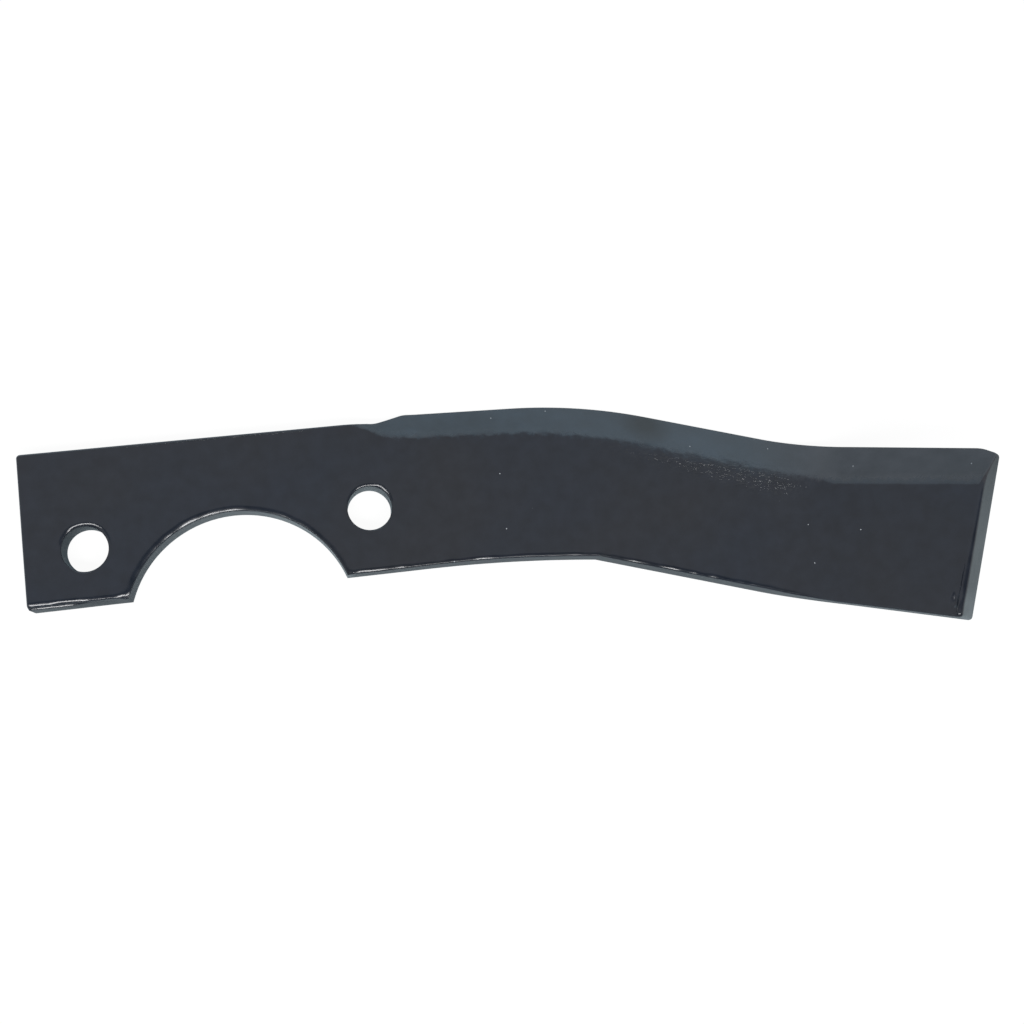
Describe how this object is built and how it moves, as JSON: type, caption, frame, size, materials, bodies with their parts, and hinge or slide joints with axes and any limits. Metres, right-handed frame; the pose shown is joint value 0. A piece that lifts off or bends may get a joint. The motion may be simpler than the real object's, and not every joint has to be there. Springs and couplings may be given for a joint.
{
  "type": "rotary tiller blade",
  "caption": "Flat steel tiller blade with bolt holes and a hub notch at one end, swept back with a bevelled edge and a tip bent upward.",
  "frame": {"origin": "midway between the centres of the two bolt holes, on the flat seat face", "axes": "+X along the bolt line towards the bent tip, +Y towards the bevelled cutting edge, +Z out of the seat face, the way the tip bends"},
  "size_m": [0.2466, 0.0802, 0.0435],
  "materials": {
    "black_paint": "gloss"
  },
  "bodies": {
    "root": {"blade": "black_paint"}
  },
  "joints": []
}
